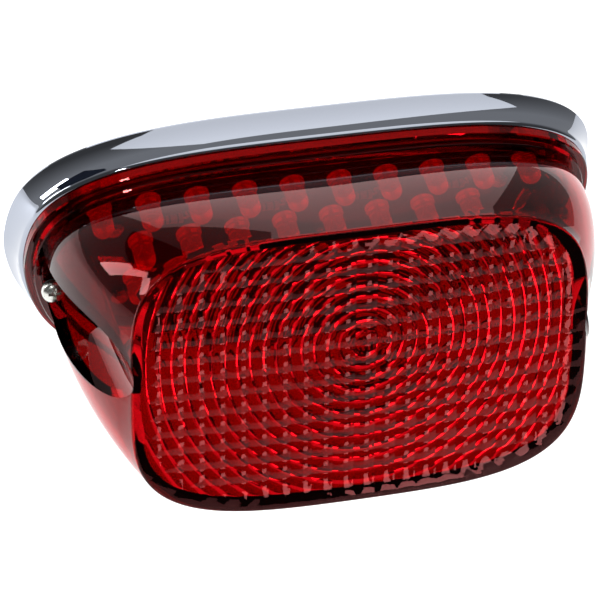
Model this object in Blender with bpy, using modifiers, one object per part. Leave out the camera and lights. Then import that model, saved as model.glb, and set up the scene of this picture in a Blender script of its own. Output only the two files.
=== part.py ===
"""Motorcycle tail light: chromed base, red moulded lens, LED board and fasteners.

Metres. X runs across the light, Z up the mounting face, and the lens points to -Y.
The origin lies on the back of the base gasket, level with the widest point of the base.
The lens face leans back from the mounting face, so the lens is deeper at the bottom.
"""
import math

import bmesh
import bpy
from mathutils import Euler, Matrix, Vector

# ---- driving sizes -----------------------------------------------------------------
GAP = 0.0003                     # clearance between touching pieces
SEGMENTS = 72                    # points round each moulded outline

# outline of the base's front rim
RIM_HALF_WIDTH = 0.0699
RIM_TOP = 0.0319
RIM_BOTTOM = 0.0460
RIM_TOP_POWER = 3.3             # squareness of the upper corners
RIM_BOTTOM_POWER = 3.1           # squareness of the lower corners
TAPER_BLEND = 0.006              # rounds off the taper at the widest point
RIM_TOP_TAPER = 0.09            # width lost per height above the widest point
RIM_BOTTOM_TAPER = 0.24          # width lost per height below it

# base housing
GASKET_THICKNESS = 0.0020
GASKET_INSET = 0.0032            # gasket's edge inside the housing's back edge
HOUSING_DEPTH = 0.0080
HOUSING_FLARE = 0.0022           # the back edge stands out past the rim
HOUSING_FLOOR = 0.0022
HOUSING_WALL = 0.0060
RIM_ROUND = 0.0011
RECESS_INSET = 0.0019            # rim to the lens gasket's recess
RECESS_DEPTH = 0.0015

# lens
FLANGE_INSET = 0.0008
FLANGE_STEP = 0.0025             # height of the flange's outer step
FLANGE_STEP_INSET = 0.0026
FLANGE_HEIGHT = 0.0044
BODY_INSET = 0.0046
LENS_WALL = 0.0030
FACE_TILT = math.radians(25.0)   # face, back from the mounting face
DRAW_TILT = math.radians(19.0)   # troughs and lens screws, up from the mounting face's normal
FACE_HALF_WIDTH = 0.0546
FACE_HALF_HEIGHT = 0.0352
FACE_POWER = 3.9
FACE_HEIGHT_OFFSET = 0.00825     # face centre above the widest point
FACE_DISTANCE = 0.0494           # face centre in front of the rim
FACE_CROWN = 0.0024              # sideways bulge of the face
FACE_ROUND = 0.0008
WALL_BULGE = 0.0034              # outward curve of the walls at the sides
WALL_BULGE_TOP = 0.3             # share of it above and below
FACE_RINGS = 4

# lens screws and the troughs that reach them
SCREW_SPREAD = 0.0632
SCREW_HEIGHT = -0.0040           # seat centre above the widest point
SEAT_DISTANCE = 0.0065           # seat centre in front of the rim
TROUGH_RADIUS = 0.0093
TROUGH_WALL = 0.0026
SEAT_THICKNESS = 0.0028
SHANK_RADIUS = 0.0014
SHANK_BELOW_SEAT = 0.0133
HEAD_RADIUS = 0.0028
HEAD_HEIGHT = 0.0021
RECESS_ARM_LENGTH = 0.0029
RECESS_ARM_WIDTH = 0.0008
RECESS_ARM_DEPTH = 0.0011
SEAL_RADIUS = 0.0026
SEAL_THICKNESS = 0.0005
LENS_HOLE_CLEARANCE = 0.00035
INSERT_RADIUS = 0.0023
INSERT_LENGTH = 0.0038
BOSS_RADIUS = 0.0040

# gasket between lens and base
LENS_GASKET_WIDTH = 0.0018

# circuit board and what it carries
BOARD_HALF_WIDTH = 0.0570
BOARD_TOP = 0.0220
BOARD_BOTTOM = 0.0360
BOARD_TOP_POWER = 6.0
BOARD_BOTTOM_POWER = 3.4
BOARD_BOTTOM_TAPER = 0.20
BOARD_THICKNESS = 0.0016
BOARD_BELOW_RIM = 0.0002
BOARD_SCREW_PLACES = ((-0.0470, 0.0050), (0.0470, 0.0050), (-0.0430, -0.0211), (0.0430, -0.0211))
POST_RADIUS = 0.0030
BOARD_SCREW_RADIUS = 0.00125
BOARD_SCREW_HEAD_RADIUS = 0.0024
BOARD_SCREW_HEAD_HEIGHT = 0.0016
BOARD_SCREW_LENGTH = 0.0048

LED_RADIUS = 0.0025
LED_COLLAR_RADIUS = 0.00295
LED_COLLAR_HEIGHT = 0.0010
LED_HEIGHT = 0.0086
LED_PITCH = 0.01145
LED_ROW_PITCH = 0.0139
LED_TOP_ROW = 0.0137
LED_ROW_COUNTS = (10, 8, 8, 6)

RESISTOR_RADIUS = 0.00115
RESISTOR_LENGTH = 0.0063
RESISTOR_COUNT = 4
DIODE_RADIUS = 0.00135
DIODE_LENGTH = 0.0050

# wire outlet and mounting holes
OUTLET_HEIGHT = -0.0245
OUTLET_RADIUS = 0.0062
GROMMET_BORE = 0.0040
GROMMET_LIP = 0.0016
GROMMET_LIP_THICKNESS = 0.0012
MOUNT_HOLE_SPREAD = 0.0300
MOUNT_HOLE_HEIGHT = -0.0130
MOUNT_HOLE_RADIUS = 0.0028
CONNECTOR_SIZE = (0.0130, 0.0030, 0.0060)
CONNECTOR_HEIGHT = -0.0110
CONNECTOR_WALL = 0.0009

# ---- places worked out from them ---------------------------------------------------
RIM_Y = -(GASKET_THICKNESS + GAP + HOUSING_DEPTH)
BACK_Y = -(GASKET_THICKNESS + GAP)
BOARD_FRONT_Y = RIM_Y + BOARD_BELOW_RIM
FACE_CENTRE = Vector((0.0, RIM_Y - FACE_DISTANCE, FACE_HEIGHT_OFFSET))
FACE_UP = Vector((0.0, math.sin(FACE_TILT), math.cos(FACE_TILT)))
FACE_OUT = Vector((0.0, -math.cos(FACE_TILT), math.sin(FACE_TILT)))
DRAW_OUT = Vector((0.0, -math.cos(DRAW_TILT), math.sin(DRAW_TILT)))
FRONT = Euler((math.pi / 2, 0.0, 0.0))                 # local +Z to -Y
ALONG_DRAW = Euler((math.pi / 2 - DRAW_TILT, 0.0, 0.0))   # local +Z along the screws
ALONG_X = Euler((0.0, math.pi / 2, 0.0))
SIDES = (("left", -1.0), ("right", 1.0))


# ---- scene, collections and materials ----------------------------------------------
def clear_scene():
    for item in list(bpy.data.objects):
        bpy.data.objects.remove(item, do_unlink=True)


def new_collection(name):
    collection = bpy.data.collections.new(name)
    bpy.context.scene.collection.children.link(collection)
    return collection


def material(name, color, roughness, metallic=0.0, transmission=0.0):
    result = bpy.data.materials.new(name)
    result.use_nodes = True
    shader = result.node_tree.nodes["Principled BSDF"]
    shader.inputs["Base Color"].default_value = (*color, 1.0)
    shader.inputs["Roughness"].default_value = roughness
    shader.inputs["Metallic"].default_value = metallic
    shader.inputs["Transmission Weight"].default_value = transmission
    return result


def place(obj, collection):
    for other in list(obj.users_collection):
        other.objects.unlink(obj)
    collection.objects.link(obj)
    return obj


def finish(obj, name, surface):
    """Name a piece, give it its material and shade its round sides smooth."""
    obj.name = name
    obj.data.name = name
    obj.data.materials.clear()
    obj.data.materials.append(surface)
    obj.data.shade_smooth()
    obj.data.set_sharp_from_angle(angle=math.radians(35))
    return place(obj, parts)


def hide_cutter(obj, name):
    obj.name = name
    obj.hide_render = True
    obj.display_type = 'WIRE'
    return place(obj, cutters)


# ---- shape helpers -----------------------------------------------------------------
def object_from_bmesh(name, bm):
    mesh = bpy.data.meshes.new(name)
    bmesh.ops.recalc_face_normals(bm, faces=bm.faces)
    bm.to_mesh(mesh)
    bm.free()
    obj = bpy.data.objects.new(name, mesh)
    cutters.objects.link(obj)
    return obj


def loft(name, rings):
    """Closed solid through rings of points that have the same count."""
    bm = bmesh.new()
    rows = [[bm.verts.new(point) for point in ring] for ring in rings]
    count = len(rows[0])
    for lower, upper in zip(rows, rows[1:]):
        for i in range(count):
            j = (i + 1) % count
            bm.faces.new((lower[i], lower[j], upper[j], upper[i]))
    bm.faces.new(rows[0])
    bm.faces.new(rows[-1])
    return object_from_bmesh(name, bm)


def cylinder(name, radius, depth, base, rotation=FRONT, vertices=24):
    """Cylinder that stands on base and runs along its own +Z."""
    bpy.ops.mesh.primitive_cylinder_add(vertices=vertices, radius=radius, depth=depth)
    obj = bpy.context.active_object
    obj.name = name
    obj.data.transform(Matrix.Translation((0.0, 0.0, depth / 2)))
    obj.matrix_world = Matrix.Translation(base) @ rotation.to_matrix().to_4x4()
    return place(obj, cutters)


def box(name, size, centre, rotation=Euler((0.0, 0.0, 0.0))):
    bpy.ops.mesh.primitive_cube_add(size=1.0)
    obj = bpy.context.active_object
    obj.name = name
    obj.data.transform(Matrix.Diagonal((*size, 1.0)))
    obj.matrix_world = Matrix.Translation(centre) @ rotation.to_matrix().to_4x4()
    return place(obj, cutters)


def turned(name, profile, origin, rotation, steps):
    """Profile of (radius, height) points, run from top to bottom, turned about +Z."""
    mesh = bpy.data.meshes.new(name)
    points = [(radius, 0.0, height) for radius, height in profile]
    mesh.from_pydata(points, [(i, i + 1) for i in range(len(points) - 1)], [])
    obj = bpy.data.objects.new(name, mesh)
    obj.matrix_world = Matrix.Translation(origin) @ rotation.to_matrix().to_4x4()
    cutters.objects.link(obj)
    screw = obj.modifiers.new("turn", 'SCREW')
    screw.axis = 'Z'
    screw.steps = steps
    screw.render_steps = steps
    screw.use_merge_vertices = True
    screw.merge_threshold = 0.00001
    return obj


def combine(target, cutter, operation):
    modifier = target.modifiers.new(operation.lower(), 'BOOLEAN')
    modifier.object = cutter
    modifier.operation = operation
    modifier.solver = 'EXACT'
    hide_cutter(cutter, target.name + "_" + operation.lower() + "_tool")


def cut(target, cutter):
    combine(target, cutter, 'DIFFERENCE')


def join(target, addition):
    combine(target, addition, 'UNION')


# ---- outlines ----------------------------------------------------------------------
def signed_power(value, power):
    return math.copysign(abs(value) ** power, value)


def tapered_point(turn, half_width, height, power, taper):
    """Superellipse that narrows away from its widest level."""
    z = height * signed_power(math.sin(turn), 2.0 / power)
    width = half_width - taper * (math.hypot(z, TAPER_BLEND) - TAPER_BLEND)
    return width * signed_power(math.cos(turn), 2.0 / power), z


def rim_point(turn):
    if math.sin(turn) >= 0.0:
        return tapered_point(turn, RIM_HALF_WIDTH, RIM_TOP, RIM_TOP_POWER, RIM_TOP_TAPER)
    return tapered_point(turn, RIM_HALF_WIDTH, RIM_BOTTOM, RIM_BOTTOM_POWER, RIM_BOTTOM_TAPER)


def board_point(turn):
    if math.sin(turn) >= 0.0:
        return tapered_point(turn, BOARD_HALF_WIDTH, BOARD_TOP, BOARD_TOP_POWER, 0.0)
    return tapered_point(turn, BOARD_HALF_WIDTH, BOARD_BOTTOM, BOARD_BOTTOM_POWER,
                         BOARD_BOTTOM_TAPER)


def face_point(turn):
    power = 2.0 / FACE_POWER
    across = FACE_HALF_WIDTH * signed_power(math.cos(turn), power)
    return across, FACE_HALF_HEIGHT * signed_power(math.sin(turn), power)


def turns():
    """Angles closer together at the corners, starting between two axes."""
    step = 2.0 * math.pi / SEGMENTS
    return [(i + 0.5) * step for i in range(SEGMENTS)]


def offset_outline(point_at, distance):
    """Points of an outline moved outward along its normal."""
    nudge = 0.002
    result = []
    for turn in turns():
        x, z = point_at(turn)
        x0, z0 = point_at(turn - nudge)
        x1, z1 = point_at(turn + nudge)
        normal = Vector((z1 - z0, x0 - x1)).normalized()
        result.append((x + distance * normal.x, z + distance * normal.y))
    return result


def rim_ring(offset, forward):
    """Ring parallel to the mounting face; forward is measured from the rim."""
    return [Vector((x, RIM_Y - forward, z)) for x, z in offset_outline(rim_point, offset)]


def face_position(x, z, outward):
    crown = -FACE_CROWN * (x / FACE_HALF_WIDTH) ** 2
    return FACE_CENTRE + Vector((x, 0.0, 0.0)) + FACE_UP * z + FACE_OUT * (outward + crown)


def face_ring(offset, outward, share=1.0):
    """Ring on the tilted, crowned face, shrunk towards its centre by share."""
    outline = offset_outline(face_point, offset)
    return [face_position(x * share, z * share, outward) for x, z in outline]


def wall_ring(inset, start, share):
    """Ring part of the way from the flange to the face, curved outward at the sides."""
    low = rim_ring(-BODY_INSET - inset, start)
    high = face_ring(-inset, -FACE_ROUND - inset)
    outer = face_ring(0.001 - inset, -FACE_ROUND - inset)
    result = []
    for turn, a, b, c in zip(turns(), low, high, outer):
        across = WALL_BULGE_TOP + (1.0 - WALL_BULGE_TOP) * abs(math.cos(turn))
        bulge = 4.0 * share * (1.0 - share) * WALL_BULGE * across
        outward = (c - b).normalized()
        result.append(a.lerp(b, share) + outward * bulge)
    return result


def screw_axis_point(side, forward):
    """Point on a lens screw's axis, at a distance forward of the rim."""
    on_seat = Vector((side * SCREW_SPREAD, RIM_Y - SEAT_DISTANCE, SCREW_HEIGHT))
    return on_seat + DRAW_OUT * ((forward - SEAT_DISTANCE) / math.cos(DRAW_TILT))


# ---- base housing ------------------------------------------------------------------
def build_base_gasket():
    depth = GASKET_THICKNESS
    pad = loft("base_gasket", [
        rim_ring(HOUSING_FLARE - GASKET_INSET, RIM_Y - 0.0),
        rim_ring(HOUSING_FLARE - GASKET_INSET, RIM_Y + depth),
    ])
    finish(pad, "base_gasket", rubber)
    outlet = OUTLET_RADIUS + GROMMET_LIP + 2 * GAP
    start = Vector((0.0, 0.001, OUTLET_HEIGHT))
    cut(pad, cylinder("hole", outlet, depth + 0.002, start))
    for _, side in SIDES:
        start = Vector((side * MOUNT_HOLE_SPREAD, 0.001, MOUNT_HOLE_HEIGHT))
        cut(pad, cylinder("hole", MOUNT_HOLE_RADIUS + GAP, depth + 0.002, start))
    return pad


def build_housing():
    shell = loft("base_housing", [
        rim_ring(HOUSING_FLARE - 0.0006, -HOUSING_DEPTH),
        rim_ring(HOUSING_FLARE, -HOUSING_DEPTH + 0.0007),
        rim_ring(HOUSING_FLARE * 0.35, -HOUSING_DEPTH * 0.45),
        rim_ring(0.0, -RIM_ROUND),
        rim_ring(-0.3 * RIM_ROUND, -0.3 * RIM_ROUND),
        rim_ring(-RIM_ROUND, 0.0),
        rim_ring(-RECESS_INSET, 0.0),
        rim_ring(-RECESS_INSET, -RECESS_DEPTH),
        rim_ring(-HOUSING_WALL, -RECESS_DEPTH),
        rim_ring(-HOUSING_WALL, HOUSING_FLOOR - HOUSING_DEPTH),
    ])
    finish(shell, "base_housing", chrome)
    floor_y = BACK_Y - HOUSING_FLOOR
    post_height = (floor_y - BOARD_FRONT_Y) - BOARD_THICKNESS - GAP
    for x, z in BOARD_SCREW_PLACES:
        start = Vector((x, floor_y + 0.0005, z))
        join(shell, cylinder("post", POST_RADIUS, post_height + 0.0005, start, vertices=16))
    for _, side in SIDES:
        join(shell, housing_boss(side))
        start = screw_axis_point(side, bore_bottom())
        cut(shell, cylinder("hole", INSERT_RADIUS + GAP, 0.012, start, ALONG_DRAW))
    for x, z in BOARD_SCREW_PLACES:
        start = Vector((x, floor_y - 0.0002, z))
        cut(shell, cylinder("hole", BOARD_SCREW_RADIUS + GAP, 0.010, start, vertices=12))
    start = Vector((0.0, BACK_Y + 0.001, OUTLET_HEIGHT))
    cut(shell, cylinder("hole", OUTLET_RADIUS, HOUSING_FLOOR + 0.002, start))
    for _, side in SIDES:
        start = Vector((side * MOUNT_HOLE_SPREAD, BACK_Y + 0.001, MOUNT_HOLE_HEIGHT))
        cut(shell, cylinder("hole", MOUNT_HOLE_RADIUS, HOUSING_FLOOR + 0.002, start))
    return shell


def bore_bottom():
    """Centre of the leaning bore's floor, just above the back of the housing."""
    return INSERT_RADIUS * math.sin(DRAW_TILT) - HOUSING_DEPTH + 0.0010


def housing_boss(side):
    """Boss that leans with the lens screw, from inside the floor to the recess's level."""
    start = screw_axis_point(side, -2 * HOUSING_DEPTH)
    boss = cylinder("boss", BOSS_RADIUS, 3 * HOUSING_DEPTH, start, ALONG_DRAW, 32)
    back = BACK_Y - HOUSING_FLOOR / 2
    front = RIM_Y + RECESS_DEPTH
    size = (4 * BOSS_RADIUS, back - front, 10 * BOSS_RADIUS)
    middle = Vector((side * SCREW_SPREAD, (back + front) / 2, 2 * SCREW_HEIGHT))
    combine(boss, box("boss_slice", size, middle), 'INTERSECT')
    return boss


def build_grommet():
    """Rubber bush that grips the floor's edge on both faces."""
    outer = OUTLET_RADIUS - GAP
    lip = OUTLET_RADIUS + GROMMET_LIP
    back = -GROMMET_LIP_THICKNESS - GAP
    floor = HOUSING_FLOOR
    top = floor + GAP + GROMMET_LIP_THICKNESS
    profile = [
        (GROMMET_BORE, top), (lip, top), (lip, floor + GAP), (outer, floor + GAP),
        (outer, -GAP), (lip, -GAP), (lip, back), (GROMMET_BORE, back), (GROMMET_BORE, top),
    ]
    origin = Vector((0.0, BACK_Y, OUTLET_HEIGHT))
    return finish(turned("wire_grommet", profile, origin, FRONT, 24), "wire_grommet", rubber)


# ---- lens --------------------------------------------------------------------------
def build_lens():
    lens = loft("lens", [
        rim_ring(-FLANGE_INSET, GAP),
        rim_ring(-FLANGE_INSET, FLANGE_STEP),
        rim_ring(-FLANGE_STEP_INSET, FLANGE_STEP + 0.0002),
        rim_ring(-FLANGE_STEP_INSET, FLANGE_HEIGHT),
        rim_ring(-BODY_INSET, FLANGE_HEIGHT + 0.0002),
        wall_ring(0.0, FLANGE_HEIGHT, 0.2),
        wall_ring(0.0, FLANGE_HEIGHT, 0.4),
        wall_ring(0.0, FLANGE_HEIGHT, 0.6),
        wall_ring(0.0, FLANGE_HEIGHT, 0.8),
        face_ring(0.0, -FACE_ROUND),
        face_ring(-0.3 * FACE_ROUND, -0.3 * FACE_ROUND),
        face_ring(-FACE_ROUND, 0.0),
    ] + [face_ring(-FACE_ROUND, 0.0, 1.0 - i / FACE_RINGS) for i in range(1, FACE_RINGS)]
      + [face_ring(-FACE_ROUND, 0.0, 0.08)])
    finish(lens, "lens", red_acrylic)
    reach = FACE_DISTANCE + 0.040
    cavity = loft("lens_cavity", [
        rim_ring(-BODY_INSET - LENS_WALL, -0.002),
        rim_ring(-BODY_INSET - LENS_WALL, FLANGE_HEIGHT),
        wall_ring(LENS_WALL, FLANGE_HEIGHT, 0.2),
        wall_ring(LENS_WALL, FLANGE_HEIGHT, 0.4),
        wall_ring(LENS_WALL, FLANGE_HEIGHT, 0.6),
        wall_ring(LENS_WALL, FLANGE_HEIGHT, 0.8),
        face_ring(-LENS_WALL, -LENS_WALL - FACE_ROUND),
        face_ring(-LENS_WALL - 0.5 * FACE_ROUND, -LENS_WALL - 0.4 * FACE_ROUND),
        face_ring(-LENS_WALL - FACE_ROUND, -LENS_WALL),
    ] + [face_ring(-LENS_WALL - FACE_ROUND, -LENS_WALL, 1.0 - i / FACE_RINGS)
         for i in range(1, FACE_RINGS)] + [face_ring(-LENS_WALL - FACE_ROUND, -LENS_WALL, 0.08)])
    for _, side in SIDES:
        start = screw_axis_point(side, SEAT_DISTANCE) - DRAW_OUT * SEAT_THICKNESS
        core = cylinder("core", TROUGH_RADIUS + TROUGH_WALL, reach, start, ALONG_DRAW, 40)
        cut(cavity, core)
    cut(lens, cavity)
    for _, side in SIDES:
        seat = screw_axis_point(side, SEAT_DISTANCE)
        cut(lens, cylinder("trough", TROUGH_RADIUS, reach, seat, ALONG_DRAW, 40))
        start = screw_axis_point(side, -0.004)
        hole = SHANK_RADIUS + LENS_HOLE_CLEARANCE
        cut(lens, cylinder("hole", hole, 0.020, start, ALONG_DRAW, 16))
    return lens


def build_lens_gasket():
    """Flat seal in the housing's recess, under the lens flange."""
    outer = -RECESS_INSET - GAP
    inner = outer - LENS_GASKET_WIDTH
    low = -RECESS_DEPTH + GAP
    ring = loft("lens_gasket", [rim_ring(outer, low), rim_ring(outer, 0.0)])
    finish(ring, "lens_gasket", rubber)
    cut(ring, loft("middle", [rim_ring(inner, low - 0.001), rim_ring(inner, 0.001)]))
    return ring


# ---- lens screws -------------------------------------------------------------------
def build_lens_screw(name, side):
    """Pan-head screw; its origin is on its own axis, at the seat."""
    under = SEAL_THICKNESS + 2 * GAP
    top = under + HEAD_HEIGHT
    profile = [
        (0.0, top), (HEAD_RADIUS * 0.55, top - 0.0002), (HEAD_RADIUS * 0.88, top - 0.0007),
        (HEAD_RADIUS, top - 0.0014), (HEAD_RADIUS, under), (SHANK_RADIUS, under),
        (SHANK_RADIUS, -SHANK_BELOW_SEAT + 0.0008), (SHANK_RADIUS * 0.6, -SHANK_BELOW_SEAT),
        (0.0, -SHANK_BELOW_SEAT),
    ]
    seat = screw_axis_point(side, SEAT_DISTANCE)
    screw = turned(name, profile, seat, ALONG_DRAW, 24)
    finish(screw, name, zinc_steel)
    centre = seat + DRAW_OUT * (top - RECESS_ARM_DEPTH / 2 + 0.0002)
    depth = RECESS_ARM_DEPTH + 0.0004
    cut(screw, box("slot", (RECESS_ARM_LENGTH, RECESS_ARM_WIDTH, depth), centre, ALONG_DRAW))
    cut(screw, box("slot", (RECESS_ARM_WIDTH, RECESS_ARM_LENGTH, depth), centre, ALONG_DRAW))
    return screw


def build_seal(name, side):
    hole = SHANK_RADIUS + GAP
    profile = [
        (hole, SEAL_THICKNESS), (SEAL_RADIUS, SEAL_THICKNESS), (SEAL_RADIUS, 0.0),
        (hole, 0.0), (hole, SEAL_THICKNESS),
    ]
    seat = screw_axis_point(side, SEAT_DISTANCE) + DRAW_OUT * GAP
    return finish(turned(name, profile, seat, ALONG_DRAW, 24), name, rubber)


def build_insert(name, side):
    hole = SHANK_RADIUS + GAP
    profile = [
        (hole, INSERT_LENGTH), (INSERT_RADIUS, INSERT_LENGTH), (INSERT_RADIUS, 0.0),
        (hole, 0.0), (hole, INSERT_LENGTH),
    ]
    foot = screw_axis_point(side, bore_bottom()) + DRAW_OUT * GAP
    return finish(turned(name, profile, foot, ALONG_DRAW, 20), name, brass)


# ---- circuit board -----------------------------------------------------------------
def build_board():
    """Flat board that follows the tray's outline."""
    outline = offset_outline(board_point, 0.0)
    back = BOARD_FRONT_Y + BOARD_THICKNESS
    board = loft("circuit_board", [
        [Vector((x, back, z)) for x, z in outline],
        [Vector((x, BOARD_FRONT_Y, z)) for x, z in outline],
    ])
    finish(board, "circuit_board", board_laminate)
    for x, z in BOARD_SCREW_PLACES:
        start = Vector((x, BOARD_FRONT_Y + 0.005, z))
        hole = BOARD_SCREW_RADIUS + GAP
        cut(board, cylinder("hole", hole, 0.010, start, vertices=12))
    return board


def build_board_screw(name, x, z):
    under = GAP
    top = under + BOARD_SCREW_HEAD_HEIGHT
    end = -BOARD_SCREW_LENGTH
    profile = [
        (0.0, top), (BOARD_SCREW_HEAD_RADIUS * 0.7, top - 0.0002),
        (BOARD_SCREW_HEAD_RADIUS, top - 0.0009), (BOARD_SCREW_HEAD_RADIUS, under),
        (BOARD_SCREW_RADIUS, under), (BOARD_SCREW_RADIUS, end), (0.0, end),
    ]
    origin = Vector((x, BOARD_FRONT_Y, z))
    return finish(turned(name, profile, origin, FRONT, 12), name, zinc_steel)


def build_led(name, x, z):
    """Round LED with a collar and a domed top."""
    low = GAP
    straight = low + LED_HEIGHT - LED_RADIUS
    dome = [math.radians(a) for a in (90, 60, 30, 0)]
    profile = [(LED_RADIUS * math.cos(a), straight + LED_RADIUS * math.sin(a)) for a in dome]
    profile[0] = (0.0, straight + LED_RADIUS)
    collar = low + LED_COLLAR_HEIGHT
    profile += [
        (LED_RADIUS, collar), (LED_COLLAR_RADIUS, collar), (LED_COLLAR_RADIUS, low), (0.0, low),
    ]
    origin = Vector((x, BOARD_FRONT_Y, z))
    return finish(turned(name, profile, origin, FRONT, 10), name, led_epoxy)


def build_leds():
    for row, count in enumerate(LED_ROW_COUNTS):
        for column in range(count):
            x = (column - (count - 1) / 2) * LED_PITCH
            z = LED_TOP_ROW - row * LED_ROW_PITCH
            build_led("led_r%d_c%02d" % (row + 1, column + 1), x, z)


def build_axial_part(name, radius, length, x, z, surface):
    """Small turned body that lies flat on the board, along X."""
    origin = Vector((x - length / 2, BOARD_FRONT_Y - radius - GAP, z))
    profile = [
        (0.0, length), (radius, length), (radius, length * 0.78), (radius * 0.84, length * 0.68),
        (radius * 0.84, length * 0.32), (radius, length * 0.22), (radius, 0.0), (0.0, 0.0),
    ]
    return finish(turned(name, profile, origin, ALONG_X, 12), name, surface)


def build_small_parts():
    between_rows = LED_TOP_ROW - LED_ROW_PITCH / 2
    for i in range(RESISTOR_COUNT):
        x = (i - (RESISTOR_COUNT - 1) / 2) * 2 * LED_PITCH
        build_axial_part("resistor_%d" % (i + 1), RESISTOR_RADIUS, RESISTOR_LENGTH,
                         x, between_rows, resistor_tan)
    build_axial_part("diode", DIODE_RADIUS, DIODE_LENGTH,
                     0.0, between_rows - LED_ROW_PITCH, diode_black)


def build_connector():
    """Socket on the board's back that the wires plug into, open downwards."""
    width, depth, height = CONNECTOR_SIZE
    back = BOARD_FRONT_Y + BOARD_THICKNESS + GAP
    centre = Vector((0.0, back + depth / 2, CONNECTOR_HEIGHT))
    socket = box("wire_connector", CONNECTOR_SIZE, centre)
    finish(socket, "wire_connector", white_nylon)
    inside = (width - 2 * CONNECTOR_WALL, depth - 2 * CONNECTOR_WALL, height)
    lowered = centre - Vector((0.0, 0.0, 1.5 * CONNECTOR_WALL))
    cut(socket, box("socket", inside, lowered))
    return socket


# ---- build -------------------------------------------------------------------------
clear_scene()
parts = new_collection("tail_light")
cutters = new_collection("cutters")

chrome = material("chrome", (0.80, 0.81, 0.83), 0.06, metallic=1.0)
red_acrylic = material("red_acrylic", (0.45, 0.01, 0.02), 0.08, transmission=0.6)
rubber = material("rubber", (0.03, 0.03, 0.03), 0.8)
zinc_steel = material("zinc_steel", (0.62, 0.63, 0.60), 0.3, metallic=1.0)
brass = material("brass", (0.72, 0.55, 0.25), 0.35, metallic=1.0)
board_laminate = material("board_laminate", (0.10, 0.02, 0.02), 0.5)
led_epoxy = material("led_epoxy", (0.70, 0.05, 0.06), 0.15, transmission=0.4)
resistor_tan = material("resistor_tan", (0.55, 0.42, 0.28), 0.5)
diode_black = material("diode_black", (0.04, 0.04, 0.04), 0.4)
white_nylon = material("white_nylon", (0.85, 0.84, 0.80), 0.5)

build_base_gasket()
build_housing()
build_grommet()
build_lens_gasket()
build_lens()
for side_name, side_sign in SIDES:
    build_lens_screw("lens_screw_" + side_name, side_sign)
    build_seal("screw_seal_" + side_name, side_sign)
    build_insert("threaded_insert_" + side_name, side_sign)
build_board()
for number, (screw_x, screw_z) in enumerate(BOARD_SCREW_PLACES):
    build_board_screw("board_screw_%d" % (number + 1), screw_x, screw_z)
build_connector()
build_small_parts()
build_leds()
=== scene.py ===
import bmesh
import bpy
import math
import numpy as np
from mathutils import Matrix, Vector


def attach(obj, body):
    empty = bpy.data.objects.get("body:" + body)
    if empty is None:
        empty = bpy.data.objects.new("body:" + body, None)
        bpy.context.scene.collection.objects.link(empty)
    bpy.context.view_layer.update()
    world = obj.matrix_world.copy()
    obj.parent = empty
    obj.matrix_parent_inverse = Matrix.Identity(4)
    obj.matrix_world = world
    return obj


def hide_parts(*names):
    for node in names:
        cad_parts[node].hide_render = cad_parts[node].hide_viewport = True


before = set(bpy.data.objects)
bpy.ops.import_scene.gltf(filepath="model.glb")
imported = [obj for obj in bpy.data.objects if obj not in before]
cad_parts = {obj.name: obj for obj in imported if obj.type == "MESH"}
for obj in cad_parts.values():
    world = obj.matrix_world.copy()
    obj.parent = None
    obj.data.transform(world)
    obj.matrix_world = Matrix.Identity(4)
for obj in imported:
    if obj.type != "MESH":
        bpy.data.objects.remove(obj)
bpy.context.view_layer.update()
print("frame loaded")

# where the light's own planes and directions lie, in metres
layout = {
    "rimY": -0.0103,          # front of the chromed rim
    "backY": -0.0023,         # back of the chromed base
    "tilt": math.radians(25),  # the lens face leans back by this much
    "draw": math.radians(19),  # the lens screws and their troughs lean by this much
    "faceDistance": 0.0494,
    "faceHeight": 0.00825,
    "crown": 0.0024,
    "screwSpread": 0.0632,
    "seatHeight": -0.0040,
    "seatDistance": 0.0065,
}
rimShape = {"halfWidth": 0.0699, "top": 0.0319, "bottom": 0.0460, "topPower": 3.3, "bottomPower": 3.1,
            "topTaper": 0.09, "bottomTaper": 0.24, "blend": 0.006}
faceShape = {"halfWidth": 0.0546, "halfHeight": 0.0352, "power": 3.9}

front = np.array([0.0, -1.0, 0.0])
faceOut = np.array([0.0, -math.cos(layout["tilt"]), math.sin(layout["tilt"])])
faceUp = np.array([0.0, math.sin(layout["tilt"]), math.cos(layout["tilt"])])
drawOut = np.array([0.0, -math.cos(layout["draw"]), math.sin(layout["draw"])])
faceCentre = np.array([0.0, layout["rimY"] - layout["faceDistance"], layout["faceHeight"]])


# ---- small helpers ----
def linear(hexColor):
    # sRGB hex to the linear colour that the shader sockets take
    parts = [int(hexColor[i:i + 2], 16) / 255 for i in (1, 3, 5)]
    return tuple(c / 12.92 if c <= 0.04045 else ((c + 0.055) / 1.055) ** 2.4 for c in parts) + (1.0,)


def newMaterial(name, **settings):
    material = bpy.data.materials.new(name)
    material.use_nodes = True
    shader = material.node_tree.nodes["Principled BSDF"]
    for socket, value in settings.items():
        shader.inputs[socket.replace("_", " ")].default_value = value
    return material


def addNode(material, kind, settings=None, links=None, **values):
    # one node: its own settings, its socket values, and what feeds its sockets
    tree = material.node_tree
    node = tree.nodes.new(kind)
    for key, value in (settings or {}).items():
        setattr(node, key, value)
    for key, value in values.items():
        node.inputs[key.replace("_", " ")].default_value = value
    for key, source in (links or {}).items():
        tree.links.new(source, node.inputs[key])
    return node


def meshObject(name, points, faces, body, replaced=(), slot=None, material=None, sharp=30):
    mesh = bpy.data.meshes.new(name)
    mesh.from_pydata(np.asarray(points).tolist(), [], [list(map(int, f)) for f in faces])
    mesh.validate()
    return meshPiece(name, mesh, body, replaced, material, sharp)


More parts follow.
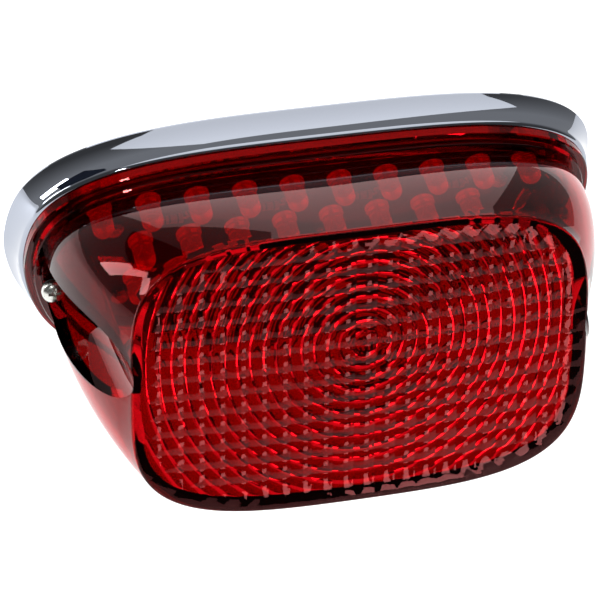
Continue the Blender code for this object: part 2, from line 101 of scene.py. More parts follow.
def meshPiece(name, mesh, body, replaced=(), material=None, sharp=30):
    piece = bpy.data.objects.new(name, mesh)
    bpy.context.scene.collection.objects.link(piece)
    mesh.name = name
    mesh.materials.clear()
    mesh.materials.append(material)
    mesh.shade_smooth()
    mesh.set_sharp_from_angle(angle=math.radians(sharp))
    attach(piece, body)
    if replaced:
        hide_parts(*replaced)
    return piece


def gridFaces(rows, columns, closedColumns=False, closedRows=False):
    # quads of a grid of points numbered row by row
    r = np.arange(rows if closedRows else rows - 1)
    c = np.arange(columns if closedColumns else columns - 1)
    r, c = np.meshgrid(r, c, indexing="ij")
    r1, c1 = (r + 1) % rows, (c + 1) % columns
    quads = np.stack([r * columns + c, r * columns + c1, r1 * columns + c1, r1 * columns + c], axis=-1)
    return quads.reshape(-1, 4)


def looseMesh(name, points, faces):
    mesh = bpy.data.meshes.new(name)
    mesh.from_pydata(np.asarray(points).reshape(-1, 3).tolist(), [], [list(map(int, f)) for f in faces])
    mesh.validate()
    return mesh


def outward(mesh):
    # turns every face of a closed mesh to the outside
    work = bmesh.new()
    work.from_mesh(mesh)
    bmesh.ops.recalc_face_normals(work, faces=work.faces)
    work.to_mesh(mesh)
    work.free()
    return mesh


def cutAway(mesh, tools, operation="DIFFERENCE"):
    # mesh minus (or with) each tool mesh; the tools are thrown away afterwards
    body = bpy.data.objects.new("work", mesh)
    bpy.context.scene.collection.objects.link(body)
    helpers = []
    for tool in tools:
        helper = bpy.data.objects.new("tool", tool)
        bpy.context.scene.collection.objects.link(helper)
        helpers.append(helper)
        step = body.modifiers.new("cut", "BOOLEAN")
        step.object = helper
        step.operation = operation
        step.solver = "MANIFOLD"
    depsgraph = bpy.context.evaluated_depsgraph_get()
    result = bpy.data.meshes.new_from_object(body.evaluated_get(depsgraph))
    for item in [body] + helpers:
        bpy.data.objects.remove(item, do_unlink=True)
    return result


# ---- outlines ----
def signedPower(value, power):
    return np.sign(value) * np.abs(value) ** power


def rimAt(turn):
    # superellipse x = (w - taper |z|) sgn(c)|c|^(2/n), z = h sgn(s)|s|^(2/n), with other values above and below
    s = rimShape
    upper = np.sin(turn) >= 0
    power = 2 / np.where(upper, s["topPower"], s["bottomPower"])
    z = np.where(upper, s["top"], s["bottom"]) * signedPower(np.sin(turn), power)
    narrow = np.hypot(z, s["blend"]) - s["blend"]
    width = s["halfWidth"] - np.where(upper, s["topTaper"], s["bottomTaper"]) * narrow
    return width * signedPower(np.cos(turn), power), z


def faceAt(turn):
    s = faceShape
    power = 2 / s["power"]
    return s["halfWidth"] * signedPower(np.cos(turn), power), s["halfHeight"] * signedPower(np.sin(turn), power)


def evenTurns(count):
    # angles that step evenly along the rim's outline
    fine = np.linspace(0, 2 * np.pi, 14401)
    x, z = rimAt(fine)
    length = np.concatenate([[0], np.cumsum(np.hypot(np.diff(x), np.diff(z)))])
    return np.interp((np.arange(count) + 0.5) / count * length[-1], length, fine)


def offsetOutline(outline, turn, distance):
    nudge = 0.002
    x, z = outline(turn)
    x0, z0 = outline(turn - nudge)
    x1, z1 = outline(turn + nudge)
    length = np.hypot(z1 - z0, x0 - x1)
    return x + distance * (z1 - z0) / length, z + distance * (x0 - x1) / length


def rimRing(turn, offset, forward):
    x, z = offsetOutline(rimAt, turn, offset)
    return np.stack([x, np.full_like(x, layout["rimY"] - forward), z], axis=-1)


def onFace(x, z, out):
    # point on the leaned, crowned face; out is along its normal
    lift = out - layout["crown"] * (x / faceShape["halfWidth"]) ** 2
    return faceCentre + x[..., None] * np.array([1.0, 0, 0]) + z[..., None] * faceUp + lift[..., None] * faceOut


def faceRing(turn, offset, out, share=1.0):
    x, z = offsetOutline(faceAt, turn, offset)
    return onFace(x * share, z * share, np.full_like(x, out))


def loft(rings, capStart=True, capEnd=True):
    count = len(rings[0])
    points = np.concatenate(rings)
    faces = gridFaces(len(rings), count, closedColumns=True).tolist()
    if capStart:
        faces.append(list(range(count))[::-1])
    if capEnd:
        faces.append([(len(rings) - 1) * count + i for i in range(count)])
    return points, faces


def alongScrew(side, forward):
    # a lens screw's axis at a distance in front of the rim
    seat = np.array([side * layout["screwSpread"], layout["rimY"] - layout["seatDistance"], layout["seatHeight"]])
    return seat + drawOut * (forward - layout["seatDistance"]) / math.cos(layout["draw"])


def rodMesh(start, direction, radius, length, count=96):
    z = np.asarray(direction, float)
    x = np.array([1.0, 0, 0])
    y = np.cross(z, x)
    a = np.arange(count) / count * 2 * np.pi
    ring = radius * (np.cos(a)[:, None] * x + np.sin(a)[:, None] * y)
    points, faces = loft([start + ring, start + ring + z * length])
    return outward(looseMesh("rod", points, faces))


# ---- camera ----
# where the camera stands around the light, in degrees, how far it rolls, and how far its aim is moved aside
view = {"distance": 0.85, "focal": 214.5, "sensor": 36, "nearest": 0.01, "aimRight": 0.00208, "aimUp": 0.02128,
        "left": math.radians(23.350), "above": math.radians(49.896), "roll": math.radians(11.443)}
back = Vector((-math.sin(view["left"]) * math.cos(view["above"]), -math.cos(view["left"]) * math.cos(view["above"]),
               math.sin(view["above"])))
level = Vector((math.cos(view["left"]), -math.sin(view["left"]), 0))
right = level * math.cos(view["roll"]) + back.cross(level) * math.sin(view["roll"])
up = back.cross(right)
aim = (-back - view["aimRight"] * right - view["aimUp"] * up).normalized()
right = aim.cross(up).normalized()
up = right.cross(aim)
camera = bpy.data.objects.new("camera", bpy.data.cameras.new("camera"))
bpy.context.scene.collection.objects.link(camera)
camera.data.lens = view["focal"]
camera.data.sensor_width = view["sensor"]
camera.data.clip_start = view["nearest"]
origin = Vector((0, layout["rimY"], 0))
turnMatrix = Matrix((right, up, -aim)).transposed().to_4x4()
camera.matrix_world = Matrix.Translation(origin + back * view["distance"]) @ turnMatrix
bpy.context.scene.camera = camera

# ---- stage: pale floor, soft lights, one dark card behind on the left ----
stage = {"floorSize": 4.0, "floorHeight": -0.30, "floorGlow": 0.85, "skyBack": 0.36, "skyFront": 0.08,
         "skyFrontEnd": 0.30, "skyBackStart": 0.62}


def stagePanel(name, corners, material):
    panel = bpy.data.objects.new(name, looseMesh(name, corners, [(0, 1, 2, 3)]))
    bpy.context.scene.collection.objects.link(panel)
    panel.data.materials.append(material)
    return panel


half, low = stage["floorSize"] / 2, stage["floorHeight"]
# matt white paint that gives off a little light, so that the floor reads as plain white
floorPaint = newMaterial("matt white paint", Base_Color=linear("#F6F6F6"), Roughness=0.9,
                         Emission_Color=linear("#FFFFFF"), Emission_Strength=stage["floorGlow"])
floorCorners = [(-half, -half, low), (half, -half, low), (half, half, low), (-half, half, low)]
stagePanel("floor", floorCorners, floorPaint)

# sky: dark in front of the light, pale grey behind it
world = bpy.data.worlds.new("studio")
bpy.context.scene.world = world
world.use_nodes = True
tree = world.node_tree
direction = tree.nodes.new("ShaderNodeTexCoord")
parts = tree.nodes.new("ShaderNodeSeparateXYZ")
tree.links.new(direction.outputs["Generated"], parts.inputs[0])
sky = tree.nodes.new("ShaderNodeValToRGB")
sky.color_ramp.elements[0].position = stage["skyFrontEnd"]
sky.color_ramp.elements[0].color = (stage["skyFront"],) * 3 + (1,)
sky.color_ramp.elements[1].position = stage["skyBackStart"]
sky.color_ramp.elements[1].color = (stage["skyBack"],) * 3 + (1,)
shift = tree.nodes.new("ShaderNodeMapRange")
shift.inputs["From Min"].default_value = -1
shift.inputs["From Max"].default_value = 1
tree.links.new(parts.outputs["Y"], shift.inputs["Value"])
tree.links.new(shift.outputs[0], sky.inputs[0])
tree.links.new(sky.outputs[0], tree.nodes["Background"].inputs["Color"])


def softbox(name, place, target, size, power):
    data = bpy.data.lights.new(name, "AREA")
    data.shape = "RECTANGLE"
    data.size, data.size_y = size
    data.energy = power
    lamp = bpy.data.objects.new(name, data)
    bpy.context.scene.collection.objects.link(lamp)
    place, target = Vector(place), Vector(target)
    turned = (target - place).to_track_quat("-Z", "Y").to_matrix().to_4x4()
    lamp.matrix_world = Matrix.Translation(place) @ turned
    return lamp


softbox("key", (0.35, -0.25, 1.35), (0, -0.03, 0), (1.3, 1.3), 6.5)
softbox("back panel", (0.25, 1.5, 0.25), (0, -0.03, 0.0), (1.1, 0.9), 4)
softbox("small lamp", (-0.25, -1.0, 0.75), (0, -0.05, 0), (0.06, 0.06), 1.2)
softbox("strip left", (-1.2, 0.5, 0.5), (0, -0.03, 0), (0.25, 0.9), 9)
softbox("low front", (0.5, -1.4, -0.1), (0, -0.05, 0), (0.25, 0.25), 1.5)

darkCloth = newMaterial("dark cloth", Base_Color=linear("#1C2436"), Roughness=0.9)
cardCorners = [(-0.75, 0.30, 0.35), (-0.35, 0.80, 0.35), (-0.35, 0.80, 1.05), (-0.75, 0.30, 1.05)]
stagePanel("dark card", cardCorners, darkCloth)


# ---- materials ----
def grained(material, scale, low, high, bump=0.0, detail=4.0):
    # roughness that varies a little over the surface, and a fine bump of the same grain
    place = addNode(material, "ShaderNodeTexCoord")
    noise = addNode(material, "ShaderNodeTexNoise", links={"Vector": place.outputs["Object"]},
                    Scale=scale, Detail=detail)
    spread = addNode(material, "ShaderNodeMapRange", links={"Value": noise.outputs["Fac"]}, To_Min=low, To_Max=high)
    shader = material.node_tree.nodes["Principled BSDF"]
    material.node_tree.links.new(spread.outputs[0], shader.inputs["Roughness"])
    if bump:
        raised = addNode(material, "ShaderNodeBump", links={"Height": noise.outputs["Fac"]},
                         Strength=bump, Distance=0.0002)
        material.node_tree.links.new(raised.outputs[0], shader.inputs["Normal"])


def mottled(material, scale, first, second):
    # base colour that drifts between two shades
    place = addNode(material, "ShaderNodeTexCoord")
    noise = addNode(material, "ShaderNodeTexNoise", links={"Vector": place.outputs["Object"]},
                    Scale=scale, Detail=3.0)
    ramp = addNode(material, "ShaderNodeValToRGB", links={"Fac": noise.outputs["Fac"]})
    ramp.color_ramp.elements[0].color = linear(first)
    ramp.color_ramp.elements[1].color = linear(second)
    material.node_tree.links.new(ramp.outputs[0], material.node_tree.nodes["Principled BSDF"].inputs["Base Color"])


# chrome plate on moulded plastic: a clear mirror, with the faint ripple of the moulding under it
chrome = newMaterial("chrome plate", Base_Color=linear("#A4A9B4"), Metallic=1.0)
grained(chrome, 60, 0.02, 0.05, 0.02, 1.0)
# moulded red acrylic: clear and deep red, with a polished skin whose reflections lean to red
redAcrylic = newMaterial("moulded red acrylic", Base_Color=linear("#A8040C"), IOR=1.49,
                         Specular_Tint=linear("#D86A6A"), Transmission_Weight=1.0)
grained(redAcrylic, 45, 0.0, 0.03, 0.02, 1.0)
# cast epoxy of the LEDs: tinted clear red, slightly cloudy, with a faint painted glow so they read through the lens
glowingRedEpoxy = newMaterial("cast red epoxy with painted glow", Base_Color=linear("#F04050"), IOR=1.55, Transmission_Weight=0.85,
                       Emission_Color=linear("#FF2838"), Emission_Strength=0.16)
grained(glowingRedEpoxy, 900, 0.02, 0.12)
# moulded black rubber: dull, with a fine grain about 0.4 mm apart
blackRubber = newMaterial("moulded black rubber", Base_Color=linear("#1B1B1C"))
grained(blackRubber, 2500, 0.6, 0.85, 0.3)
# bright zinc plate on steel: pale, a little blotchy
zincPlate = newMaterial("zinc plated steel", Metallic=1.0)
mottled(zincPlate, 700, "#C9CCC6", "#E3E3DC")
grained(zincPlate, 1500, 0.16, 0.34, 0.1)
# turned brass: yellow metal with fine tool marks
turnedBrass = newMaterial("turned brass", Base_Color=linear("#C9A45A"), Metallic=1.0)
grained(turnedBrass, 2000, 0.2, 0.4, 0.2)
# glass-fibre laminate with dark solder resist: the weave just shows as a grain about 0.5 mm apart
boardLaminate = newMaterial("solder resist on laminate", Roughness=0.35)
mottled(boardLaminate, 250, "#161012", "#2A1A1C")
grained(boardLaminate, 2000, 0.3, 0.5, 0.25)
# tinned copper: pale silver, half dull
tinnedCopper = newMaterial("tinned copper", Base_Color=linear("#D5D3CC"), Metallic=1.0)
grained(tinnedCopper, 1500, 0.15, 0.35)
# tan lacquer of the resistors: glossy, slightly uneven in colour
lacquer = newMaterial("tan lacquer", Roughness=0.3)
mottled(lacquer, 900, "#B8925F", "#CDAA78")
grained(lacquer, 900, 0.25, 0.45, 0.1)
# moulded black epoxy: satin
blackEpoxy = newMaterial("moulded black epoxy", Base_Color=linear("#141416"))
grained(blackEpoxy, 1800, 0.35, 0.55, 0.2)
# moulded nylon: off-white, lets a little light in under its skin
whiteNylon = newMaterial("moulded nylon", Base_Color=linear("#E6E2D6"), Subsurface_Weight=0.1)
grained(whiteNylon, 1500, 0.4, 0.6, 0.1)
print("materials made")


# ---- lens: walls that curve outward, pillow squares outside and rings inside ----
lensSize = {"flangeInset": 0.0008, "step": 0.0025, "stepInset": 0.0026, "flangeHeight": 0.0044, "bodyInset": 0.0046,
            "wall": 0.0030, "round": 0.0008, "bulge": 0.0034, "bulgeTop": 0.3, "trough": 0.0093,
            "troughWall": 0.0026, "seatThickness": 0.0028, "screwHole": 0.00175}
pillows = {"width": 0.0050, "height": 0.0046, "first": 0.0009, "margin": 0.0030, "fade": 0.0045, "fadeShift": 0.7,
           "bowAcross": 0.00030, "bowUp": 0.00023, "depth": 0.00004, "clear": 0.0002, "perCell": 10,
           "cellsAcross": 23, "cellsBelow": 8, "cellsAbove": 9}
# the rings are drawn about twice as far apart as real ones, to keep the mesh small
rings = {"pitch": 0.0030, "height": 0.00090, "centre": (0.0, 0.0055), "radius": 0.074, "perRing": 7, "around": 180}
reach = 0.006  # how far the cutting solids stand out past the surface they shape


def wallRing(turn, inset, share):
    # straight line from flange to face, plus an outward bow 4 s (1 - s) that is full at the sides
    s = lensSize
    start = rimRing(turn, -s["bodyInset"] - inset, s["flangeHeight"])
    end = faceRing(turn, -inset, -s["round"] - inset)
    outer = faceRing(turn, 0.001 - inset, -s["round"] - inset)
    bow = 4 * share * (1 - share) * s["bulge"] * (s["bulgeTop"] + (1 - s["bulgeTop"]) * np.abs(np.cos(turn)))
    away = (outer - end) / np.linalg.norm(outer - end, axis=1)[:, None]
    return start * (1 - share) + end * share + away * bow[:, None]


def pillowHeight(x, z):
    # each square is a low dome, -a u^2 - b v^2 from its own centre, inside a smooth margin
    p = pillows
    u = 2 * (x / p["width"] - np.round(x / p["width"]))
    v = (z - p["first"]) / p["height"]
    v = 2 * (v - np.floor(v)) - 1
    dome = -p["bowAcross"] * u ** 2 - p["bowUp"] * v ** 2
    f = faceShape
    a, b = f["halfWidth"] - p["margin"], f["halfHeight"] - p["margin"]
    edge = ((np.abs(x) / a) ** f["power"] + (np.abs(z) / b) ** f["power"]) ** (1 / f["power"])
    outside = np.clip((edge - 1) * b / p["fade"] + p["fadeShift"], 0, 1)
    return (dome - p["depth"]) * (1 - outside) + p["clear"] * outside


def pillowTool():
    # solid that stands on the domes and reaches out in front of them
    p = pillows
    nx = p["cellsAcross"] * p["perCell"] + 1
    nz = (p["cellsBelow"] + p["cellsAbove"]) * p["perCell"] + 1
    x = np.linspace(-0.5, 0.5, nx) * p["cellsAcross"] * p["width"]
    z = p["first"] + (np.linspace(-p["cellsBelow"], p["cellsAbove"], nz) - 0.5) * p["height"]
    z, x = np.meshgrid(z, x, indexing="ij")
    low = onFace(x, z, pillowHeight(x, z))
    high = onFace(x, z, np.full_like(x, reach))
    count = nx * nz
    faces = np.concatenate([gridFaces(nz, nx), gridFaces(nz, nx)[:, ::-1] + count])
    # the grid's border, once around
    border = np.concatenate([np.arange(nx), np.arange(1, nz) * nx + nx - 1,
                             (nz - 1) * nx + np.arange(nx - 2, -1, -1), np.arange(nz - 2, 0, -1) * nx])
    nextOne = np.roll(border, -1)
    sides = np.stack([border, nextOne, nextOne + count, border + count], axis=-1)
    points = np.concatenate([low.reshape(-1, 3), high.reshape(-1, 3)])
    return outward(looseMesh("domes", points, np.concatenate([faces, sides])))


def ringTool():
    # solid in front of the rings on the inner face: height a |sin(pi r / pitch)| about the rings' centre
    r = rings
    steps, around = r["perRing"], r["around"]
    radius = np.concatenate([[0.0001], np.arange(1, int(r["radius"] / r["pitch"] * steps)) * r["pitch"] / steps])
    angle = np.arange(around) / around * 2 * np.pi
    radius, angle = np.meshgrid(radius, angle, indexing="ij")
    x = r["centre"][0] + radius * np.cos(angle)
    z = r["centre"][1] + radius * np.sin(angle)
    out = -lensSize["wall"] - r["height"] * np.abs(np.sin(np.pi * radius / r["pitch"]))
    low = onFace(x, z, out)
    high = onFace(x, z, np.full_like(x, reach))
    rows = radius.shape[0]
    points = np.concatenate([low.reshape(-1, 3), high.reshape(-1, 3)])
    quads = gridFaces(rows, around, closedColumns=True)
    upper = rows * around
    faces = quads.tolist() + (quads[:, ::-1] + upper).tolist()
    faces.append(list(range(around))[::-1])
    faces.append([upper + i for i in range(around)])
    last = (rows - 1) * around
    for i in range(around):
        j = (i + 1) % around
        faces.append([last + i, last + j, upper + last + j, upper + last + i])
    return outward(looseMesh("rings", points, faces))


def lensMesh():
    s = lensSize
    turn = evenTurns(400)
    shares = np.linspace(0.08, 0.92, 12)
    corner = np.linspace(0, np.pi / 2, 6)
    flange = [rimRing(turn, -s["flangeInset"], 0.0003), rimRing(turn, -s["flangeInset"], s["step"] - 0.0003),
              rimRing(turn, -s["flangeInset"] - 0.0003, s["step"]), rimRing(turn, -s["stepInset"], s["step"]),
              rimRing(turn, -s["stepInset"], s["flangeHeight"] - 0.0003),
              rimRing(turn, -s["stepInset"] - 0.0003, s["flangeHeight"]),
              rimRing(turn, -s["bodyInset"], s["flangeHeight"])]
    walls = [wallRing(turn, 0.0, k) for k in shares]
    edge = [faceRing(turn, -s["round"] * (1 - math.cos(a)), -s["round"] * (1 - math.sin(a))) for a in corner]
    inner = [faceRing(turn, -s["round"], 0.0, k) for k in (0.9, 0.7, 0.5, 0.3, 0.1)]
    outer = outward(looseMesh("outer", *loft(flange + walls + edge + inner)))
    w = s["wall"]
    hollow = [rimRing(turn, -s["bodyInset"] - w, -0.002), rimRing(turn, -s["bodyInset"] - w, s["flangeHeight"])]
    hollow += [wallRing(turn, w, k) for k in shares]
    hollow += [faceRing(turn, -w, -w - s["round"]), faceRing(turn, -w - s["round"] * 0.5, -w - s["round"] * 0.3)]
    hollow += [faceRing(turn, -w - s["round"], -w, k) for k in (1.0, 0.8, 0.6, 0.4, 0.2, 0.05)]
    cavity = outward(looseMesh("cavity", *loft(hollow)))
    seats = [alongScrew(side, layout["seatDistance"]) for side in (-1, 1)]
    cores = [rodMesh(seat - drawOut * s["seatThickness"], drawOut, s["trough"] + s["troughWall"], 0.1)
             for seat in seats]
    cavity = cutAway(cavity, [ringTool()] + cores)
    troughs = [rodMesh(seat, drawOut, s["trough"], 0.1) for seat in seats]
    holes = [rodMesh(alongScrew(side, -0.004), drawOut, s["screwHole"], 0.02, 32) for side in (-1, 1)]
    return cutAway(outer, [pillowTool(), cavity] + troughs + holes)


lens = meshPiece("lensShell", lensMesh(), "lens", ["lens"], redAcrylic, 22)
print("lens made, faces:", len(lens.data.polygons))

# ---- chromed base ----
baseSize = {"depth": 0.0080, "flare": 0.0022, "round": 0.0011, "recessInset": 0.0019, "recessDepth": 0.0015,
            "wall": 0.0060, "floor": 0.0022, "boss": 0.0040, "post": 0.0030,
            "outlet": 0.0062, "outletHeight": -0.0245, "backRound": 0.0007,
            "mountSpread": 0.030, "mountHeight": -0.013, "mountHole": 0.0028,
            "posts": ((-0.047, 0.005), (0.047, 0.005), (-0.043, -0.0211), (0.043, -0.0211))}


def baseMesh():
    b = baseSize
    turn = evenTurns(480)
    corner = np.linspace(0, np.pi / 2, 10)
    start = b["backRound"] - b["depth"]
    outside = [rimRing(turn, b["flare"] - 0.0006, -b["depth"]),
               rimRing(turn, b["flare"] - 0.0002, -b["depth"] + 0.0002), rimRing(turn, b["flare"], start)]
    # the side curves in from the flared back edge: flare (1 - s)^2
    for k in np.linspace(0.1, 1.0, 10):
        outside.append(rimRing(turn, b["flare"] * (1 - k) ** 2, start - k * (start + b["round"])))
    outside += [rimRing(turn, -b["round"] * (1 - math.cos(a)), -b["round"] * (1 - math.sin(a))) for a in corner[1:]]
    inside = [rimRing(turn, -b["recessInset"] + 0.0002, 0.0), rimRing(turn, -b["recessInset"], -0.0002),
              rimRing(turn, -b["recessInset"], -b["recessDepth"]), rimRing(turn, -b["wall"], -b["recessDepth"]),
              rimRing(turn, -b["wall"], b["floor"] - b["depth"])]
    shell = outward(looseMesh("base", *loft(outside + inside)))
    floorY = layout["backY"] - b["floor"]
    boardBack = layout["rimY"] + 0.0002 + 0.0016
    posts = [rodMesh(np.array([x, floorY + 0.0005, z]), front, b["post"], floorY + 0.0005 - boardBack - 0.0003, 40)
             for x, z in b["posts"]]
    bossLength = (b["depth"] - b["floor"] - b["recessDepth"]) / math.cos(layout["draw"]) - 0.0012
    bosses = [rodMesh(alongScrew(side, -b["depth"] + b["floor"]), drawOut, b["boss"], bossLength, 48)
              for side in (-1, 1)]
    shell = cutAway(shell, posts + bosses, "UNION")
    holes = [rodMesh(np.array([x, floorY - 0.0002, z]), front, 0.00155, 0.01, 32) for x, z in b["posts"]]
    holes += [rodMesh(alongScrew(side, -b["depth"] + 0.0018), drawOut, 0.0026, 0.012, 48) for side in (-1, 1)]
    holes.append(rodMesh(np.array([0.0, 0.0, b["outletHeight"]]), front, b["outlet"], 0.0058, 64))
    holes += [rodMesh(np.array([side * b["mountSpread"], 0.0, b["mountHeight"]]), front, b["mountHole"], 0.0058, 48)
              for side in (-1, 1)]
    return cutAway(shell, holes)


meshPiece("chromeBase", baseMesh(), "base", ["base_housing"], chrome, 30)
print("base made")

# ---- gaskets ----
padSize = {"inset": 0.0032, "thickness": 0.0020, "outlet": 0.0084, "mountHole": 0.0031}
sealSize = {"outer": 0.0022, "width": 0.0018, "low": -0.0012, "bead": 0.0003}


def padMesh():
    turn = evenTurns(320)
    edge = baseSize["flare"] - padSize["inset"]
    shallow = 0.0003
    levels = [(edge - shallow, 0.0), (edge, -shallow), (edge, -padSize["thickness"] + shallow),
              (edge - shallow, -padSize["thickness"])]
    rows = [rimRing(turn, offset, layout["rimY"] - y) for offset, y in levels]
    pad = outward(looseMesh("pad", *loft(rows)))
    holes = [rodMesh(np.array([0.0, 0.001, baseSize["outletHeight"]]), front, padSize["outlet"], 0.004, 64)]
    holes += [rodMesh(np.array([side * baseSize["mountSpread"], 0.001, baseSize["mountHeight"]]), front,
                      padSize["mountHole"], 0.004, 48) for side in (-1, 1)]
    return cutAway(pad, holes)


def sealMesh():
    # flat ring whose top has a low rounded bead
    turn = evenTurns(320)
    g = sealSize
    k = np.linspace(0, np.pi, 9)
    top = [rimRing(turn, -g["outer"] - g["width"] * (1 - math.cos(a)) / 2, g["bead"] * (math.sin(a) - 1))
           for a in k]
    rows = [rimRing(turn, -g["outer"], g["low"])] + top + [rimRing(turn, -g["outer"] - g["width"], g["low"])]
    points = np.concatenate(rows)
    return outward(looseMesh("seal", points, gridFaces(len(rows), len(turn), closedColumns=True, closedRows=True)))


meshPiece("basePad", padMesh(), "base", ["base_gasket"], blackRubber)
meshPiece("lensSeal", sealMesh(), "base", ["lens_gasket"], blackRubber)


# ---- turned pieces ----
def turnedPoints(profile, start, direction, count, wave=None):
    # a profile of (radius, height) turned about a direction; wave(radius, height, angle) may change the radius
    direction = np.asarray(direction, float)
    across = np.array([1.0, 0, 0]) if abs(direction[0]) < 0.9 else np.array([0, 0, 1.0])
    other = np.cross(direction, across)
    profile = np.asarray(profile, float)
    angle = np.arange(count) / count * 2 * np.pi
    radius = np.repeat(profile[:, :1], count, axis=1)
    height = np.repeat(profile[:, 1:], count, axis=1)
    if wave is not None:
        radius = wave(radius, height, angle[None, :])
    spoke = np.cos(angle)[None, :, None] * across + np.sin(angle)[None, :, None] * other
    return np.asarray(start) + radius[..., None] * spoke + height[..., None] * direction


def turnedSolid(profile, start, direction, count=48, wave=None):
    points = turnedPoints(profile, start, direction, count, wave)
    rows = len(profile)
    faces = gridFaces(rows, count, closedColumns=True).tolist()
    faces += [list(range(count))[::-1], [(rows - 1) * count + i for i in range(count)]]
    return points.reshape(-1, 3), faces


def gather(solids):
    points, faces, base = [], [], 0
    for p, f in solids:
        points.append(np.asarray(p))
        faces += [[i + base for i in face] for face in f]
        base += len(p)
    return np.concatenate(points), faces


# ---- lens screws: M3 pan head, cross recess, 0.5 mm thread ----
screwSize = {"head": 0.0028, "headHeight": 0.0021, "under": 0.0011, "shank": 0.0014, "length": 0.0133,
             "pitch": 0.0005, "threadDepth": 0.00022, "plainLength": 0.003,
             "armLength": 0.0034, "armWidth": 0.0008, "armDepth": 0.0012}
boxFaces = [(0, 1, 2, 3), (7, 6, 5, 4), (0, 4, 5, 1), (1, 5, 6, 2), (2, 6, 7, 3), (3, 7, 4, 0)]


def screwMesh(side):
    s = screwSize
    seat = alongScrew(side, layout["seatDistance"])
    top = s["under"] + s["headHeight"]
    dome = [(s["head"] * math.sin(a), top - 0.0012 * (1 - math.cos(a))) for a in np.linspace(0.06, math.pi / 2, 9)]
    profile = dome + [(s["head"], s["under"] + 0.0001), (s["head"] - 0.0001, s["under"]), (s["shank"], s["under"])]
    profile += [(s["shank"], h) for h in np.linspace(s["under"] - 0.0001, -s["length"] + 0.0006, 220)]
    profile += [(s["shank"] * 0.55, -s["length"])]

    def thread(radius, height, angle):
        # triangle wave of height / pitch + angle / 2 pi, only below the plain length
        phase = (height / s["pitch"] + angle / (2 * np.pi)) % 1.0
        groove = s["threadDepth"] * np.abs(2 * phase - 1)
        below = np.clip((-s["plainLength"] - height) / 0.0005, 0, 1) * (height > -s["length"] + 0.0003)
        return radius - groove * below

    body = outward(looseMesh("screw", *turnedSolid(profile, seat, drawOut, 40, thread)))
    arms = []
    other = np.cross(drawOut, [1.0, 0, 0])
    for along, across in ((np.array([1.0, 0, 0]), other), (other, np.array([1.0, 0, 0]))):
        corners = []
        for h, k in ((top + 0.0003, 1.0), (top - s["armDepth"], 0.62)):
            for a, b in ((-1, -1), (1, -1), (1, 1), (-1, 1)):
                reachOut = along * a * s["armLength"] / 2 * k + across * b * s["armWidth"] / 2
                corners.append(seat + drawOut * h + reachOut)
        arms.append(outward(looseMesh("arm", np.array(corners), boxFaces)))
    return cutAway(body, arms)


for word, side in (("left", -1), ("right", 1)):
    meshPiece("lensScrew_" + word, screwMesh(side), "screw_" + word, ["lens_screw_" + word], zincPlate)
print("screws made")

# ---- LEDs: clear red domes, a bright cup and chip in each ----
ledSize = {"radius": 0.0025, "collar": 0.00295, "collarHeight": 0.0010, "height": 0.0086,
           "cup": 0.00085, "cupHeight": 0.0052, "anvil": 0.0013}
ledRows = (10, 8, 8, 6)
ledPitch, ledRowPitch, ledTop = 0.01145, 0.0139, 0.0137
boardY = layout["rimY"] + 0.0002
ledPlaces = [((c - (n - 1) / 2) * ledPitch, ledTop - r * ledRowPitch)
             for r, n in enumerate(ledRows) for c in range(n)]
ledNames = ["led_r%d_c%02d" % (r + 1, c + 1) for r, n in enumerate(ledRows) for c in range(n)]


def ledSolids(x, z):
    s = ledSize
    start = np.array([x, boardY - 0.0003, z])
    straight = s["height"] - s["radius"]
    dome = [(s["radius"] * math.sin(a), straight + s["radius"] * math.cos(a))
            for a in np.linspace(0.05, math.pi / 2, 8)]
    shell = dome + [(s["radius"], s["collarHeight"]), (s["collar"], s["collarHeight"]), (s["collar"], 0.0)]
    h = s["cupHeight"]
    cup = [(0.0002, h - 0.0004), (0.0004, h - 0.0004), (s["cup"], h), (s["cup"] + 0.0001, h - 0.0001),
           (0.0005, h - 0.0012), (0.0003, -0.0002)]
    anvil = [(0.00012, h - 0.0008), (0.00045, h - 0.0009), (0.0002, h - 0.0014), (0.0002, -0.0002)]
    beside = start + np.array([s["anvil"], 0, 0])
    return (turnedSolid(shell, start, front, 24), turnedSolid(cup, start, front, 16),
            turnedSolid(anvil, beside, front, 8))


solids = [ledSolids(x, z) for x, z in ledPlaces]
domes = meshObject("ledDomes", *gather([s[0] for s in solids]), "base", ledNames, "led_epoxy", glowingRedEpoxy)
outward(domes.data)
frameSolids = [s[1] for s in solids] + [s[2] for s in solids]
frames = meshObject("ledFrames", *gather(frameSolids), "base", (), None, tinnedCopper)
outward(frames.data)
print("LEDs made")

# ---- resistor and diode leads, bands and solder ----
leadSize = {"wire": 0.0003, "reach": 0.0016, "solder": 0.0009}
between = ledTop - ledRowPitch / 2
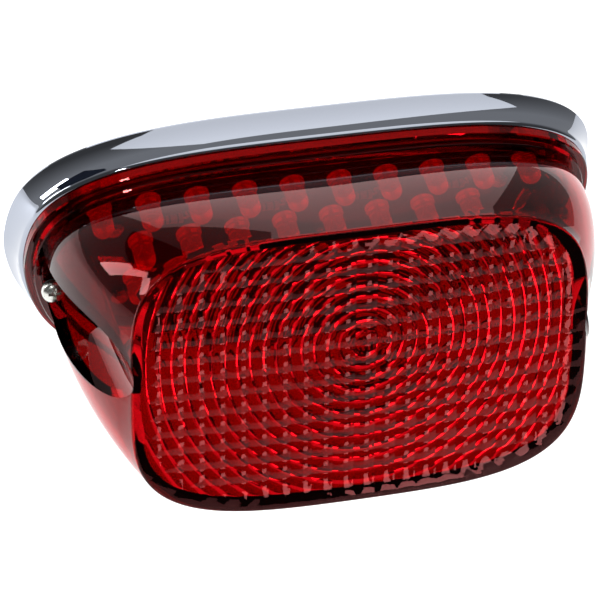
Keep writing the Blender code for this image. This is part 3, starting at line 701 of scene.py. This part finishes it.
# x, z, length and radius of the four resistors, then of the diode
axials = [((i - 1.5) * 2 * ledPitch, between, 0.0063, 0.00115) for i in range(4)]
axials.append((0.0, between - ledRowPitch, 0.0050, 0.00135))
leads, bands, beads = [], [], []
for x, z, length, radius in axials:
    for side in (-1, 1):
        y = boardY - radius - 0.0003
        start = np.array([x + side * (length / 2 + 0.0001), y, z])
        a = np.linspace(0, math.pi / 2, 6)
        bend = radius * 0.9
        # straight out, then a quarter turn down into the board
        straight = leadSize["reach"] - bend
        path = [start]
        path += [start + np.array([side * (straight + bend * math.sin(k)), bend * (1 - math.cos(k)), 0]) for k in a]
        path.append(path[-1] + np.array([0, 0.0002 + radius * 0.1, 0]))
        path = np.array(path)
        step = np.gradient(path, axis=0)
        step /= np.linalg.norm(step, axis=1)[:, None]
        upward = np.array([0, 0, 1.0])
        sideways = np.cross(step, upward)
        angle = np.arange(8) / 8 * 2 * np.pi
        spokes = np.cos(angle)[None, :, None] * sideways[:, None] + np.sin(angle)[None, :, None] * upward
        tube = path[:, None] + leadSize["wire"] * spokes
        leads.append((tube.reshape(-1, 3), loft(tube)[1]))
        bead = [(leadSize["solder"] * math.sin(k), 0.0005 * math.cos(k)) for k in np.linspace(0.1, math.pi / 2, 5)]
        beads.append(turnedSolid(bead, np.array([path[-1][0], boardY - 0.00005, z]), front, 12))
for x, z, length, radius in axials[:4]:
    for k in (-0.36, -0.18, 0.0, 0.30):
        wide = radius * (1.0 if abs(k) > 0.28 else 0.84) + 0.00004
        band = [(wide - 0.0001, 0.0), (wide, 0.0), (wide, 0.0004), (wide - 0.0001, 0.0004)]
        bandStart = np.array([x + k * length - 0.0002, boardY - radius - 0.0003, z])
        points = turnedPoints(band, bandStart, np.array([1.0, 0, 0]), 20)
        bands.append((points.reshape(-1, 3), gridFaces(4, 20, closedColumns=True, closedRows=True).tolist()))
outward(meshObject("partLeads", *gather(leads + beads), "base", (), None, tinnedCopper).data)
bandInk = newMaterial("brown band ink", Roughness=0.4)
mottled(bandInk, 900, "#5A2A14", "#7A3418")
outward(meshObject("resistorBands", *gather(bands), "base", (), None, bandInk).data)

# ---- the CAD's own pieces that keep their shape ----
finishes = {"wire_grommet": blackRubber, "screw_seal": blackRubber, "threaded_insert": turnedBrass,
            "board_screw": zincPlate, "circuit_board": boardLaminate, "wire_connector": whiteNylon,
            "resistor": lacquer, "diode": blackEpoxy,
            "base": chrome, "lens": redAcrylic, "led": glowingRedEpoxy}
for name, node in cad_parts.items():
    finish = next(m for key, m in finishes.items() if name.startswith(key))
    node.data.materials.clear()
    node.data.materials.append(finish)
print("finishes given")

bpy.context.scene.view_settings.view_transform = "Standard"
